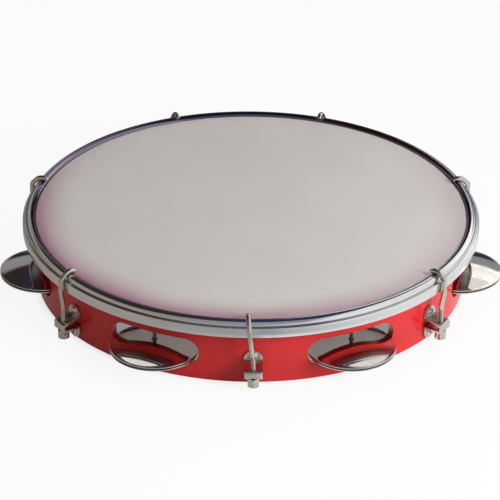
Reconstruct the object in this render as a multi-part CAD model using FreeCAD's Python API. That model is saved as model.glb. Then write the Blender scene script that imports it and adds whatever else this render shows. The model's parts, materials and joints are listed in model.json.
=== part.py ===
import FreeCAD, Part
import math
import os

from FreeCAD import Vector

os.makedirs("parts", exist_ok=True)

# A twelve inch pandeiro: a tunable frame drum with a plastic shell, a film head held down by a
# rolled steel counterhoop, seven hooks with nuts, and six pairs of jingles on pins in slots.
# Millimetres. The origin is on the drum's axis at the shell's bottom rim, +Z runs up to the
# head, and the first hook is at -Y. The grip bay, which has no slot, is at +Y.

# Shell
shell_outer_radius = 145.5
shell_wall = 6.0
shell_height = 47.5
shell_rim_round = 1.0
bearing_edge_round = 1.4
bearing_edge_flat = 1.6
bearing_edge_slope = 2.2

# Where the hooks stand round the shell, in degrees
hook_count = 7
hooks_before_grip = 4
first_hook_angle = -90.0
grip_bay_angle = 40.2

# Jingle slots
slot_floor = 9.5
slot_edge_round = 0.5
slot_end_clearance = 2.0

# Head
film_thickness = 0.25
film_collar_clearance = 0.1
film_collar_straight = 1.9

# Counterhoop, a rolled sheet with a bead on top and a plain band below
bead_stand_off = 4.3
bead_radius = 3.3
bead_height_over_head = 1.95
hoop_sheet = 1.2
band_step = 1.9
band_height = 7.1
band_shoulder_round = 0.8
band_edge_round = 0.4
shoulder_gap = 0.3

# Flesh hoop, the ring that grips the film under the counterhoop
flesh_hoop_clearance = 1.45
flesh_hoop_height = 4.3
flesh_hoop_round = 0.5

# Tension hooks
rod_radius = 1.7
rod_stand_off = 9.8
rod_end_inside_nut = 0.6
rod_end_chamfer = 0.4
hook_clearance = 0.25
hook_tip_angle = 132.0
hook_leave_angle = 45.0
shank_clearance = 0.35
shank_bend_radius = 4.0
joggle_below_band = 1.3
joggle_length = 9.0
joggle_bend_radius = 20.0

# Tuning nuts, tall hexagons under the brackets
nut_width = 7.4
nut_height = 6.2
nut_chamfer = 0.5
nut_thread_clearance = 0.06
nut_seat_clearance = 0.2

# Brackets, bent from strip so that two shelves carry the rod
bracket_width = 12.0
bracket_sheet = 1.3
bracket_bottom = 1.2
lower_tab_height = 8.8
lip_height = 5.5
upper_tab_height = 9.0
upper_shelf_fall = 2.4
lip_in_front_of_rod = 4.2
fold_round = 1.8
fold_inner_round = 0.4
corner_round = 2.0
rod_hole_clearance = 0.5
seat_clearance = 0.05

# Screws that hold the brackets, with their nuts inside the shell
screw_radius = 1.5
screw_hole_clearance = 0.1
upper_screw_head_radius = 2.9
lower_screw_head_radius = 3.4
screw_head_height = 2.1
screw_slot_width = 1.0
screw_slot_depth = 0.9
screw_end_past_nut = 0.8
upper_screw_from_tab_end = 3.3
lower_screw_from_tab_end = 3.9
screw_nut_width = 5.5
screw_nut_height = 2.4
screw_thread_clearance = 0.05

# Jingle pins
pin_radius = 1.25
pin_bottom = 0.6
pin_grip_above_slot = 6.5
pin_hole_clearance = 0.05

# Jingles, two shallow domes rim to rim with a flat damper disc between them
jingle_radius = 29.5
jingle_sheet = 0.8
jingle_height = 5.75
jingle_flat_rim = 1.5
jingle_hole_radius = 2.0
jingle_seat_clearance = 0.3
jingle_gap = 0.25
jingle_headroom = 6.2
damper_inset = 1.0
damper_thickness = 0.5

# How far each cutter runs past what it cuts
overrun = 1.0

# Radii, levels and angles that follow from the sizes above
shell_inner_radius = shell_outer_radius - shell_wall
bead_circle_radius = shell_outer_radius + bead_stand_off
band_outer_radius = bead_circle_radius + bead_radius + band_step
head_level = shell_height + film_thickness
hoop_top = head_level + bead_height_over_head
bead_level = hoop_top - bead_radius
flesh_hoop_top = shell_height - bearing_edge_round - film_collar_straight
shoulder_level = flesh_hoop_top + shoulder_gap + hoop_sheet
band_bottom = shoulder_level - band_height
film_collar_radius = shell_outer_radius + film_collar_clearance
film_flange_radius = bead_circle_radius - bead_radius - film_collar_clearance
flesh_hoop_radius = film_collar_radius + film_thickness + film_collar_clearance
flesh_hoop_outer_radius = band_outer_radius - hoop_sheet - flesh_hoop_clearance
rod_axis_radius = shell_outer_radius + rod_stand_off
shank_radius = band_outer_radius + shank_clearance + rod_radius
hook_bend_radius = bead_radius + hook_clearance + rod_radius
lower_shelf_bottom = bracket_bottom + lower_tab_height
upper_shelf_top = lower_shelf_bottom + lip_height
bracket_top = upper_shelf_top + upper_tab_height
upper_shelf_root = upper_shelf_top + upper_shelf_fall
bracket_back = shell_outer_radius + seat_clearance
bracket_face = bracket_back + bracket_sheet
bracket_front = rod_axis_radius + lip_in_front_of_rod
lower_screw_level = bracket_bottom + lower_screw_from_tab_end
upper_screw_level = bracket_top - upper_screw_from_tab_end
screw_nut_corner = screw_nut_width / math.sqrt(3)
screw_nut_seat = math.sqrt(shell_inner_radius**2 - screw_nut_corner**2) - seat_clearance
nut_top = lower_shelf_bottom - nut_seat_clearance
nut_bottom = nut_top - nut_height
pin_circle_radius = shell_outer_radius - shell_wall / 2
lower_jingle_level = slot_floor + jingle_seat_clearance
damper_level = lower_jingle_level + jingle_height + jingle_gap
upper_jingle_level = damper_level + damper_thickness + jingle_gap
slot_ceiling = upper_jingle_level + jingle_height + jingle_headroom
slot_height = slot_ceiling - slot_floor
slot_length = 2 * (jingle_radius + slot_end_clearance)
pin_top = slot_ceiling + pin_grip_above_slot
damper_radius = jingle_radius - damper_inset
hook_pitch = (360.0 - grip_bay_angle) / (hook_count - 1)
grip_angle = first_hook_angle + hook_pitch * (hooks_before_grip - 1) + grip_bay_angle / 2


def hook_angle(place):
    """Angle of a hook, counted from the first one; the narrow grip bay breaks the even pitch."""
    if place < hooks_before_grip:
        return first_hook_angle + hook_pitch * place
    return first_hook_angle + hook_pitch * (place - 1) + grip_bay_angle


def jingle_angles():
    """Middle of every bay between two hooks, apart from the grip bay."""
    bays = [place for place in range(hook_count) if place != hooks_before_grip - 1]
    return [(hook_angle(place) + hook_angle(place + 1)) / 2 for place in bays]


def point(radius, level):
    """A point of the upright plane through the drum's axis and +X."""
    return Vector(radius, 0, level)


def rounded_edges(corners, closed):
    """Edges of an outline given as (radius, level, round) corners, with an arc at each round."""
    count = len(corners)
    ends, arcs = [], []
    for index, (radius, level, bend) in enumerate(corners):
        here = point(radius, level)
        inner = closed or 0 < index < count - 1
        if not inner or bend == 0:
            ends.append((here, here))
            arcs.append(None)
            continue
        before = point(*corners[index - 1][:2]) - here
        after = point(*corners[(index + 1) % count][:2]) - here
        before.normalize()
        after.normalize()
        half = before.getAngle(after) / 2
        start = here + before * (bend / math.tan(half))
        finish = here + after * (bend / math.tan(half))
        middle = before + after
        middle.normalize()
        centre = here + middle * (bend / math.sin(half))
        ends.append((start, finish))
        arcs.append((start, centre - middle * bend, finish))
    edges = []
    for index in range(count):
        if arcs[index]:
            edges.append(Part.Arc(*arcs[index]).toShape())
        if index < count - 1 or closed:
            start, finish = ends[index][1], ends[(index + 1) % count][0]
            if not start.isEqual(finish, 1e-6):
                edges.append(Part.makeLine(start, finish))
    return edges


def face_of(edges):
    """The flat face that closed edges bound."""
    return Part.Face(Part.Wire(Part.__sortEdges__(edges)))


def ring(corners):
    """A solid of revolution about the drum's axis."""
    return face_of(rounded_edges(corners, True)).revolve(Vector(), Vector(0, 0, 1), 360)


def upright_cylinder(radius, bottom, top, centre_radius=0):
    """A cylinder along Z, standing at a distance from the drum's axis."""
    return Part.makeCylinder(radius, top - bottom, point(centre_radius, bottom))


def outward_cylinder(radius, inner, outer, level):
    """A cylinder along +X between two distances from the drum's axis."""
    return Part.makeCylinder(radius, outer - inner, point(inner, level), Vector(1, 0, 0))


def hexagon(width, height, base, direction):
    """A hexagonal prism, given its width across flats and the centre of its base."""
    circle_radius = width / math.sqrt(3)
    corners = [
        Vector(circle_radius * math.cos(turn), circle_radius * math.sin(turn), 0)
        for turn in (math.radians(60 * side) for side in range(6))
    ]
    prism = Part.Face(Part.makePolygon(corners + corners[:1])).extrude(Vector(0, 0, height))
    prism.Placement = FreeCAD.Placement(base, FreeCAD.Rotation(Vector(0, 0, 1), direction))
    return prism


def placed(shape, angle):
    """A copy of a shape that was made at +X, turned about the drum's axis to its place."""
    copy = shape.copy()
    copy.rotate(Vector(), Vector(0, 0, 1), angle)
    return copy


def slot_cutter():
    """The round-ended slot, cut straight through the wall along +X."""
    end_radius = slot_height / 2
    straight = slot_length - slot_height
    middle = slot_floor + end_radius
    inner = math.sqrt(shell_inner_radius**2 - (slot_length / 2) ** 2) - overrun
    outer = shell_outer_radius + overrun
    block = Part.makeBox(
        outer - inner, straight, slot_height, Vector(inner, -straight / 2, slot_floor)
    )
    cutter = block
    for side in (-1, 1):
        end = outward_cylinder(end_radius, inner, outer, middle)
        end.translate(Vector(0, side * straight / 2, 0))
        cutter = cutter.fuse(end)
    return cutter.removeSplitter()


def slot_rim_edges(shape):
    """The edges where the slots meet the shell's outer and inner faces."""
    chosen = []
    for edge in shape.Edges:
        box = edge.BoundBox
        if box.ZMin < slot_floor - overrun / 2 or box.ZMax > slot_ceiling + overrun / 2:
            continue
        radii = [math.hypot(v.X, v.Y) for v in edge.Vertexes]
        on_outer = all(abs(r - shell_outer_radius) < seat_clearance for r in radii)
        on_inner = all(abs(r - shell_inner_radius) < seat_clearance for r in radii)
        if on_outer or on_inner:
            chosen.append(edge)
    return chosen


def shell():
    """The round wall with its bearing edge, slots, pin holes and screw holes."""
    flat_inner_radius = shell_outer_radius - bearing_edge_round - bearing_edge_flat
    wall = ring(
        [
            (shell_inner_radius, 0, shell_rim_round),
            (shell_outer_radius, 0, shell_rim_round),
            (shell_outer_radius, shell_height, bearing_edge_round),
            (flat_inner_radius, shell_height, 0),
            (shell_inner_radius, shell_height - bearing_edge_slope, 0),
        ]
    )
    wall = placed(wall, grip_angle)
    cutter = slot_cutter()
    for angle in jingle_angles():
        wall = wall.cut(placed(cutter, angle))
    wall = wall.makeFillet(slot_edge_round, slot_rim_edges(wall))
    pin_hole = upright_cylinder(
        pin_radius + pin_hole_clearance, -overrun, pin_top + pin_hole_clearance, pin_circle_radius
    )
    for angle in jingle_angles():
        wall = wall.cut(placed(pin_hole, angle))
    for place in range(hook_count):
        for level in (upper_screw_level, lower_screw_level):
            hole = outward_cylinder(
                screw_radius + screw_hole_clearance,
                shell_inner_radius - overrun,
                shell_outer_radius + overrun,
                level,
            )
            wall = wall.cut(placed(hole, hook_angle(place)))
    return wall


def drumhead():
    """The film, flat over the bearing edge, with a short collar and a flange on the flesh hoop."""
    outer_bend = bearing_edge_round + film_thickness
    return ring(
        [
            (0, shell_height, 0),
            (film_collar_radius, shell_height, bearing_edge_round),
            (film_collar_radius, flesh_hoop_top, 0),
            (film_flange_radius, flesh_hoop_top, 0),
            (film_flange_radius, flesh_hoop_top + film_thickness, 0),
            (film_collar_radius + film_thickness, flesh_hoop_top + film_thickness, 0),
            (film_collar_radius + film_thickness, head_level, outer_bend),
            (0, head_level, 0),
        ]
    )


def flesh_hoop():
    """The ring under the counterhoop's inner leg that carries the film's flange."""
    outer = flesh_hoop_outer_radius
    bottom = flesh_hoop_top - flesh_hoop_height
    return ring(
        [
            (flesh_hoop_radius, bottom, flesh_hoop_round),
            (outer, bottom, flesh_hoop_round),
            (outer, flesh_hoop_top, flesh_hoop_round),
            (flesh_hoop_radius, flesh_hoop_top, 0),
        ]
    )


def counterhoop():
    """One rolled sheet: inner leg, hollow bead, shoulder and band."""
    bead_outer = bead_circle_radius + bead_radius
    bead_inner = bead_circle_radius - bead_radius
    hollow_radius = bead_radius - hoop_sheet
    hollow_top = hoop_top - hoop_sheet
    return ring(
        [
            (band_outer_radius, band_bottom, band_edge_round),
            (band_outer_radius, shoulder_level, band_shoulder_round),
            (bead_outer, shoulder_level, 0),
            (bead_outer, hoop_top, bead_radius),
            (bead_inner, hoop_top, bead_radius),
            (bead_inner, flesh_hoop_top, 0),
            (bead_inner + hoop_sheet, flesh_hoop_top, 0),
            (bead_inner + hoop_sheet, hollow_top, hollow_radius),
            (bead_outer - hoop_sheet, hollow_top, hollow_radius),
            (bead_outer - hoop_sheet, shoulder_level - hoop_sheet, 0),
            (band_outer_radius - hoop_sheet, shoulder_level - hoop_sheet, 0),
            (band_outer_radius - hoop_sheet, band_bottom, band_edge_round),
        ]
    )


def on_hook_bend(angle):
    """Radius and level of the rod's centre on the bend over the bead."""
    turn = math.radians(angle)
    return (
        bead_circle_radius + hook_bend_radius * math.cos(turn),
        bead_level + hook_bend_radius * math.sin(turn),
    )


def tension_hook():
    """A bent rod: tip, bend over the bead, shank past the band, joggle and threaded end."""
    leave_radius, leave_level = on_hook_bend(hook_leave_angle)
    slant = shank_radius - leave_radius
    shoulder = leave_level - slant / math.tan(math.radians(hook_leave_angle))
    joggle_top = band_bottom - joggle_below_band
    tip = point(*on_hook_bend(hook_tip_angle))
    crown = point(*on_hook_bend((hook_tip_angle + hook_leave_angle) / 2))
    bend = Part.Arc(tip, crown, point(leave_radius, leave_level)).toShape()
    shank = rounded_edges(
        [
            (leave_radius, leave_level, 0),
            (shank_radius, shoulder, shank_bend_radius),
            (shank_radius, joggle_top, joggle_bend_radius),
            (rod_axis_radius, joggle_top - joggle_length, joggle_bend_radius),
            (rod_axis_radius, nut_bottom + rod_end_inside_nut, 0),
        ],
        False,
    )
    spine = Part.Wire([bend] + shank)
    tip_turn = math.radians(hook_tip_angle)
    tip_direction = Vector(math.sin(tip_turn), 0, -math.cos(tip_turn))
    section = Part.Wire(Part.makeCircle(rod_radius, tip, tip_direction))
    rod = spine.makePipeShell([section], True, False)
    ends = [edge for face in rod.Faces if isinstance(face.Surface, Part.Plane) for edge in face.Edges]
    return rod.makeChamfer(rod_end_chamfer, ends)


def tuning_nut():
    """A tall hexagonal nut with turned-down corners, bored for the rod."""
    base = point(rod_axis_radius, nut_bottom)
    nut = hexagon(nut_width, nut_height, base, Vector(0, 0, 1))
    corner_radius = nut_width / math.sqrt(3)
    turned = upright_cylinder(corner_radius, nut_bottom, nut_top, rod_axis_radius)
    rims = [edge for edge in turned.Edges if isinstance(edge.Curve, Part.Circle)]
    turned = turned.makeChamfer(nut_chamfer, rims)
    bore = upright_cylinder(
        rod_radius + nut_thread_clearance, nut_bottom - overrun, nut_top + overrun, rod_axis_radius
    )
    return nut.common(turned).cut(bore)


def bracket_front_outline():
    """The strip seen from outside: straight sides and round ends, as a block to keep."""
    end_radius = bracket_width / 2
    low = bracket_bottom + end_radius
    high = bracket_top - end_radius
    inner = bracket_back - overrun
    outer = bracket_front + overrun
    keep = Part.makeBox(outer - inner, bracket_width, high - low, Vector(inner, -end_radius, low))
    for level in (low, high):
        keep = keep.fuse(outward_cylinder(end_radius, inner, outer, level))
    return keep


def bracket():
    """A strip folded out to a sloping upper shelf, down the lip and back to a lower shelf."""
    shelf_under = upper_shelf_top - bracket_sheet
    root_under = upper_shelf_root - bracket_sheet
    shelf_over = lower_shelf_bottom + bracket_sheet
    lip_back = bracket_front - bracket_sheet
    side = face_of(
        rounded_edges(
            [
                (bracket_back, bracket_top, 0),
                (bracket_back, root_under, 0),
                (lip_back, shelf_under, fold_inner_round),
                (lip_back, shelf_over, fold_inner_round),
                (bracket_back, shelf_over, 0),
                (bracket_back, bracket_bottom, 0),
                (bracket_face, bracket_bottom, 0),
                (bracket_face, lower_shelf_bottom, fold_inner_round),
                (bracket_front, lower_shelf_bottom, fold_round),
                (bracket_front, upper_shelf_top, fold_round),
                (bracket_face, upper_shelf_root, fold_inner_round),
                (bracket_face, bracket_top, 0),
            ],
            True,
        )
    )
    strip = side.extrude(Vector(0, bracket_width, 0))
    strip.translate(Vector(0, -bracket_width / 2, 0))
    strip = strip.common(bracket_front_outline())
    plan = Part.makeBox(
        bracket_front - bracket_back + overrun,
        bracket_width,
        bracket_top - bracket_bottom,
        Vector(bracket_back - overrun, -bracket_width / 2, bracket_bottom),
    )
    front_corners = [
        edge for edge in plan.Edges
        if all(v.X > bracket_front - overrun / 2 for v in edge.Vertexes)
        and edge.BoundBox.ZLength > overrun
    ]
    strip = strip.common(plan.makeFillet(corner_round, front_corners))
    rod_hole = upright_cylinder(
        rod_radius + rod_hole_clearance, bracket_bottom, bracket_top, rod_axis_radius
    )
    strip = strip.cut(rod_hole)
    for level in (upper_screw_level, lower_screw_level):
        hole = outward_cylinder(
            screw_radius + screw_hole_clearance, bracket_back - overrun, bracket_face + overrun, level
        )
        strip = strip.cut(hole)
    return strip


def screw(level, head_radius):
    """A domed, slotted screw that runs inwards through strip, wall and nut."""
    head_sphere = (head_radius**2 + screw_head_height**2) / (2 * screw_head_height)
    head_end = bracket_face + screw_head_height
    sphere = Part.makeSphere(head_sphere, point(head_end - head_sphere, level))
    head = sphere.common(outward_cylinder(head_radius + overrun, bracket_face, head_end, level))
    shank_end = screw_nut_seat - screw_nut_height - screw_end_past_nut
    shank = outward_cylinder(screw_radius, shank_end, bracket_face, level)
    slot = Part.makeBox(
        screw_slot_depth + overrun,
        2 * (head_radius + overrun),
        screw_slot_width,
        Vector(head_end - screw_slot_depth, -head_radius - overrun, level - screw_slot_width / 2),
    )
    return head.fuse(shank).removeSplitter().cut(slot)


def screw_nut(level):
    """A plain hexagonal nut against the inside of the wall."""
    base = point(screw_nut_seat - screw_nut_height, level)
    nut = hexagon(screw_nut_width, screw_nut_height, base, Vector(1, 0, 0))
    bore = outward_cylinder(
        screw_radius + screw_thread_clearance, base.x - overrun, screw_nut_seat + overrun, level
    )
    return nut.cut(bore)


def jingle_pin():
    """A plain pin down through the wall and across the slot."""
    return upright_cylinder(pin_radius, pin_bottom, pin_top, pin_circle_radius)


def jingle():
    """A shallow dome with a narrow flat rim and a centre hole, rim down on level zero."""
    dome_radius = jingle_radius - jingle_flat_rim
    rise = jingle_height - jingle_sheet
    outer_sphere = (dome_radius**2 + rise**2) / (2 * rise)
    inner_sphere = outer_sphere - jingle_sheet
    centre = jingle_height - outer_sphere
    inner_dome_radius = math.sqrt(inner_sphere**2 - centre**2)

    def on_sphere(sphere, radius):
        return point(radius, centre + math.sqrt(sphere**2 - radius**2))

    inside = [on_sphere(inner_sphere, r) for r in (jingle_hole_radius, inner_dome_radius / 2)]
    inside.append(point(inner_dome_radius, 0))
    outside = [on_sphere(outer_sphere, r) for r in (jingle_hole_radius, dome_radius / 2, dome_radius)]
    edges = [
        Part.Arc(*inside).toShape(),
        Part.makeLine(inside[2], point(jingle_radius, 0)),
        Part.makeLine(point(jingle_radius, 0), point(jingle_radius, jingle_sheet)),
        Part.makeLine(point(jingle_radius, jingle_sheet), outside[2]),
        Part.Arc(*outside).toShape(),
        Part.makeLine(outside[0], inside[0]),
    ]
    return face_of(edges).revolve(Vector(), Vector(0, 0, 1), 360)


def jingle_at(level, dome_up):
    """A jingle on its pin; level is the lowest point it reaches."""
    shape = jingle()
    if not dome_up:
        shape.rotate(Vector(), Vector(1, 0, 0), 180)
        shape.translate(Vector(0, 0, jingle_height))
    shape.translate(point(pin_circle_radius, level))
    return shape


def damper_disc():
    """The flat disc that lies between a pair of jingles."""
    top = damper_level + damper_thickness
    disc = upright_cylinder(damper_radius, damper_level, top, pin_circle_radius)
    hole = upright_cylinder(jingle_hole_radius, damper_level - overrun, top + overrun, pin_circle_radius)
    return disc.cut(hole)


def write(name, shapes):
    """One file for one node, as a single solid or a group of separate ones."""
    shape = shapes[0] if len(shapes) == 1 else Part.makeCompound(shapes)
    shape.exportStep(f"parts/{name}.step")


def all_round(shape):
    """A copy of a shape at every hook."""
    return [placed(shape, hook_angle(place)) for place in range(hook_count)]


write("shell", [shell()])
write("drumhead", [drumhead()])
write("flesh_hoop", [flesh_hoop()])
write("counterhoop", [counterhoop()])

hook_pieces = (("tension_hook", tension_hook()), ("tuning_nut", tuning_nut()), ("bracket", bracket()))
for name, shape in hook_pieces:
    for number, copy in enumerate(all_round(shape), 1):
        write(f"{name}_{number}", [copy])

write("upper_bracket_screws", all_round(screw(upper_screw_level, upper_screw_head_radius)))
write("lower_bracket_screws", all_round(screw(lower_screw_level, lower_screw_head_radius)))
screw_nuts = [screw_nut(level) for level in (upper_screw_level, lower_screw_level)]
write("bracket_screw_nuts", [copy for nut in screw_nuts for copy in all_round(nut)])

jingle_pieces = (
    ("jingle_pin", jingle_pin()),
    ("upper_jingle", jingle_at(upper_jingle_level, True)),
    ("damper_disc", damper_disc()),
    ("lower_jingle", jingle_at(lower_jingle_level, False)),
)
for name, shape in jingle_pieces:
    for number, angle in enumerate(jingle_angles(), 1):
        write(f"{name}_{number}", [placed(shape, angle)])
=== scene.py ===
import json
import math
import random

import bmesh
import bpy
from bpy.props import (
    FloatProperty,
    FloatVectorProperty,
    IntProperty,
    IntVectorProperty,
    PointerProperty,
)
from mathutils import Matrix, Vector

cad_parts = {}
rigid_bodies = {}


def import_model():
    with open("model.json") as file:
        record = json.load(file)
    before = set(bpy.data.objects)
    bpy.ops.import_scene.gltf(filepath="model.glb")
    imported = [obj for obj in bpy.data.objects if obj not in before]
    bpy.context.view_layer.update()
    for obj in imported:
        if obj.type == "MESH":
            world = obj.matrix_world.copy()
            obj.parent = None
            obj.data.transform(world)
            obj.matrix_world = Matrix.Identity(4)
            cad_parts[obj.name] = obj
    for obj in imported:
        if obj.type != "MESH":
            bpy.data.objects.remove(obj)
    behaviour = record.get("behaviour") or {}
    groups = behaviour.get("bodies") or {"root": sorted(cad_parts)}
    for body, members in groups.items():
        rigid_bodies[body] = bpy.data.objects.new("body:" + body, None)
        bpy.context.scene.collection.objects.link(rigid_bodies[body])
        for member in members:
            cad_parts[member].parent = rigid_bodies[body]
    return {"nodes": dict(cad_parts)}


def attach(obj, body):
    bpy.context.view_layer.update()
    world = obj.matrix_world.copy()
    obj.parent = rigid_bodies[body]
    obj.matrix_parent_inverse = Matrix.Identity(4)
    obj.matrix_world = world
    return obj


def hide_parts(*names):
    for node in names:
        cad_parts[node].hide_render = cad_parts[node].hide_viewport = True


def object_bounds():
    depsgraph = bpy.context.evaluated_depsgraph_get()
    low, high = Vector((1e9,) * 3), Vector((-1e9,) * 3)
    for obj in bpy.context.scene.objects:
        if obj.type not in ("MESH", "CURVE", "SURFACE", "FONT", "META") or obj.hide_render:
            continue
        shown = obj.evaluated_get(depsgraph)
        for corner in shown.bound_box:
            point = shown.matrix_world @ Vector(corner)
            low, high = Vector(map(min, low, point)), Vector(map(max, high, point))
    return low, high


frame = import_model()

bl_info = {
    "name": "Pandeiro",
    "version": (1, 0, 0),
    "blender": (4, 5, 0),
    "location": "View3D > Sidebar > Pandeiro",
    "description": "Dresses a tunable frame drum with jingles, piece by piece",
    "category": "Object",
}

CAD_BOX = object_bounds()
MM = 0.001
MERGE = 0.01 * MM
WHITE = (1, 1, 1)
# Colour of the painted shade on the inner side of the hoop's bead
PAINTED_SHADE = (0.2, 0.17, 0.22)


def tone(red, green, blue):
    """A colour as a paint chart gives it, 0 to 255, turned into the linear values of a shader."""
    shares = [value / 255 for value in (red, green, blue)]
    return tuple(s / 12.92 if s <= 0.04045 else ((s + 0.055) / 1.055) ** 2.4 for s in shares)


def length(name, description, default):
    return FloatProperty(
        name=name, description=description, default=default * MM, min=0, unit="LENGTH", precision=5
    )


def angle(name, description, default):
    return FloatProperty(
        name=name, description=description, default=math.radians(default), subtype="ANGLE"
    )


def colour(name, description, default):
    return FloatVectorProperty(
        name=name, description=description, default=default, subtype="COLOR", min=0, max=1
    )


def amount(name, description, default):
    return FloatProperty(name=name, description=description, default=default, min=0)


class LayoutSettings(bpy.types.PropertyGroup):
    hook_count: IntProperty(name="Hooks", description="Hooks round the shell", default=7, min=3)
    hooks_before_grip: IntProperty(
        name="Hooks before grip", description="Hooks from the front one to the grip bay", default=4
    )
    first_hook: angle("First hook", "Where the front hook stands", -90)
    grip_bay: angle("Grip bay", "The bay without a slot, from hook to hook", 40.2)


class HeadSettings(bpy.types.PropertyGroup):
    bearing_level: length("Bearing level", "Top of the shell", 47.5)
    thickness: length("Film", "Thickness of the film", 0.25)
    collar: length("Collar", "Radius at which the film turns down", 146.05)
    collar_round: length("Collar round", "Bend of the film over the bearing edge", 0.5)
    wall: length("Wall", "Outer radius of the wall under the film", 145.5)
    flange: length("Flange", "Outer radius of the film on its hoop", 146.4)
    flange_level: length("Flange level", "Where the film meets its hoop", 44.2)
    milk: colour("Milk", "The film over the open middle", tone(230, 222, 218))
    # Painted red bounce light: the pink laid on the film near the wall
    painted_red_bounce: colour("Blush", "The film near the red wall", tone(187, 154, 163))
    # Painted shade: the darker colour on the film's left-front edge
    edge: colour("Edge", "The film on the bearing edge", tone(168, 122, 140))


class HoopSettings(bpy.types.PropertyGroup):
    bead_circle: length("Bead circle", "Radius of the bead's middle", 149.8)
    bead_radius: length("Bead", "Radius of the rolled bead", 3.3)
    bead_level: length("Bead level", "Height of the bead's middle", 46.4)
    sheet: length("Sheet", "Thickness of the rolled sheet", 1.2)
    band_radius: length("Band", "Outer radius of the plain band", 155)
    shoulder_level: length("Shoulder", "Height of the band's shoulder", 45.7)
    shoulder_round: length("Shoulder round", "Bend of the shoulder", 0.8)
    groove: length("Groove", "Depth of the crease between shoulder and bead", 0.4)
    band_bottom: length("Band bottom", "Lower edge of the band", 38.6)
    edge_round: length("Edge round", "Round of the sheet's cut edge", 0.4)
    # Inside this radius the bead's plating is darkened with painted shade
    painted_shade_from: length("Painted shade", "Radius of the bead's dull inner side", 149.9)
    chrome: colour("Chrome", "Plating of the hoop", tone(222, 221, 222))


class HookSettings(bpy.types.PropertyGroup):
    rod: length("Rod", "Radius of the rod", 1.7)
    axis: length("Axis", "Distance of the threaded end from the drum's axis", 155.3)
    shank: length("Shank", "Distance of the upper shank from the drum's axis", 157.05)
    clearance: length("Clearance", "Gap between rod and bead", 0.25)
    tip: angle("Tip", "Where the hook's tip ends round the bead", 132)
    leave: angle("Leave", "Where the hook leaves the bead", 45)
    shank_bend: length("Shank bend", "Bend under the shoulder", 4)
    joggle_top: length("Joggle top", "Where the shank starts to step in", 37.3)
    joggle_length: length("Joggle length", "Height of the step", 9)
    joggle_bend: length("Joggle bend", "Bend of the step", 20)
    bottom: length("Bottom", "Lower end of the rod", 4.2)
    chamfer: length("Chamfer", "Chamfer of both ends", 0.4)
    thread_top: length("Thread top", "Where the thread runs out", 26)
    thread_pitch: length("Thread pitch", "Rise of the thread in a turn", 0.7)
    thread_depth: length("Thread depth", "Depth of the thread", 0.28)
    front_lean: angle("Front lean", "Sideways lean of the front hook", -6.2)
    spread: angle("Spread", "Most that any other hook leans", 1)
    nickel: colour("Nickel", "Plating of the hooks", tone(205, 197, 186))


class NutSettings(bpy.types.PropertyGroup):
    width: length("Width", "Width across flats", 7.4)
    bottom: length("Bottom", "Lower end of the nut", 3.6)
    top: length("Top", "Upper end of the nut", 9.8)
    chamfer: length("Chamfer", "Turned corner of the hexagon", 0.5)
    bore: length("Bore", "Radius of the bore", 1.76)
    nickel: colour("Nickel", "Plating of the nuts", tone(200, 192, 184))


class BracketSettings(bpy.types.PropertyGroup):
    width: length("Width", "Width of the strip", 12)
    sheet: length("Sheet", "Thickness of the strip", 1.3)
    face: length("Face", "Distance of the tabs' faces from the drum's axis", 146.85)
    front: length("Front", "Distance of the lip from the drum's axis", 159.5)
    top: length("Top", "Upper end of the strip", 24.5)
    bottom: length("Bottom", "Lower end of the strip", 1.2)
    shelf_root: length("Shelf root", "Top of the upper shelf at the tab", 17.9)
    shelf_top: length("Shelf top", "Top of the upper shelf at the lip", 15.5)
    shelf_bottom: length("Shelf bottom", "Underside of the lower shelf", 10)
    fold: length("Fold", "Outer round of the lip's folds", 1.8)
    inner_fold: length("Inner fold", "Round where shelves leave the tabs", 0.4)
    corner: length("Corner", "Round of the lip's ends, seen from above", 2)
    rod_hole: length("Rod hole", "Radius of the holes for the rod", 2.2)
    screw_hole: length("Screw hole", "Radius of the holes for the screws", 1.6)
    nickel: colour("Nickel", "Plating of the brackets", tone(203, 196, 188))


class ScrewSettings(bpy.types.PropertyGroup):
    upper_head: length("Upper head", "Radius of the upper screws' domed heads", 2.9)
    lower_head: length("Lower head", "Radius of the lower screws' domed heads", 3.4)
    dome: length("Dome", "Height of a domed head", 2.1)
    shank: length("Shank", "Radius of the shank", 1.5)
    shank_end: length("Shank end", "Distance of the inner end from the drum's axis", 133.04)
    rim: length("Rim", "Height of the upright edge under the dome", 0.336)
    tip: length("Tip", "How far the inner end is narrowed", 0.3)
    thread: length("Thread", "Length of the thread", 6)
    thread_pitch: length("Thread pitch", "Rise of the thread in a turn", 0.5)
    thread_depth: length("Thread depth", "Depth of the thread", 0.2)
    slot_width: length("Slot width", "Width of the driver's slot", 1)
    slot_depth: length("Slot depth", "Depth of the driver's slot", 0.9)
    upper_level: length("Upper level", "Height of the upper screws", 21.2)
    lower_level: length("Lower level", "Height of the lower screws", 5.1)
    nickel: colour("Nickel", "Plating of the screws", tone(206, 200, 190))


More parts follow.
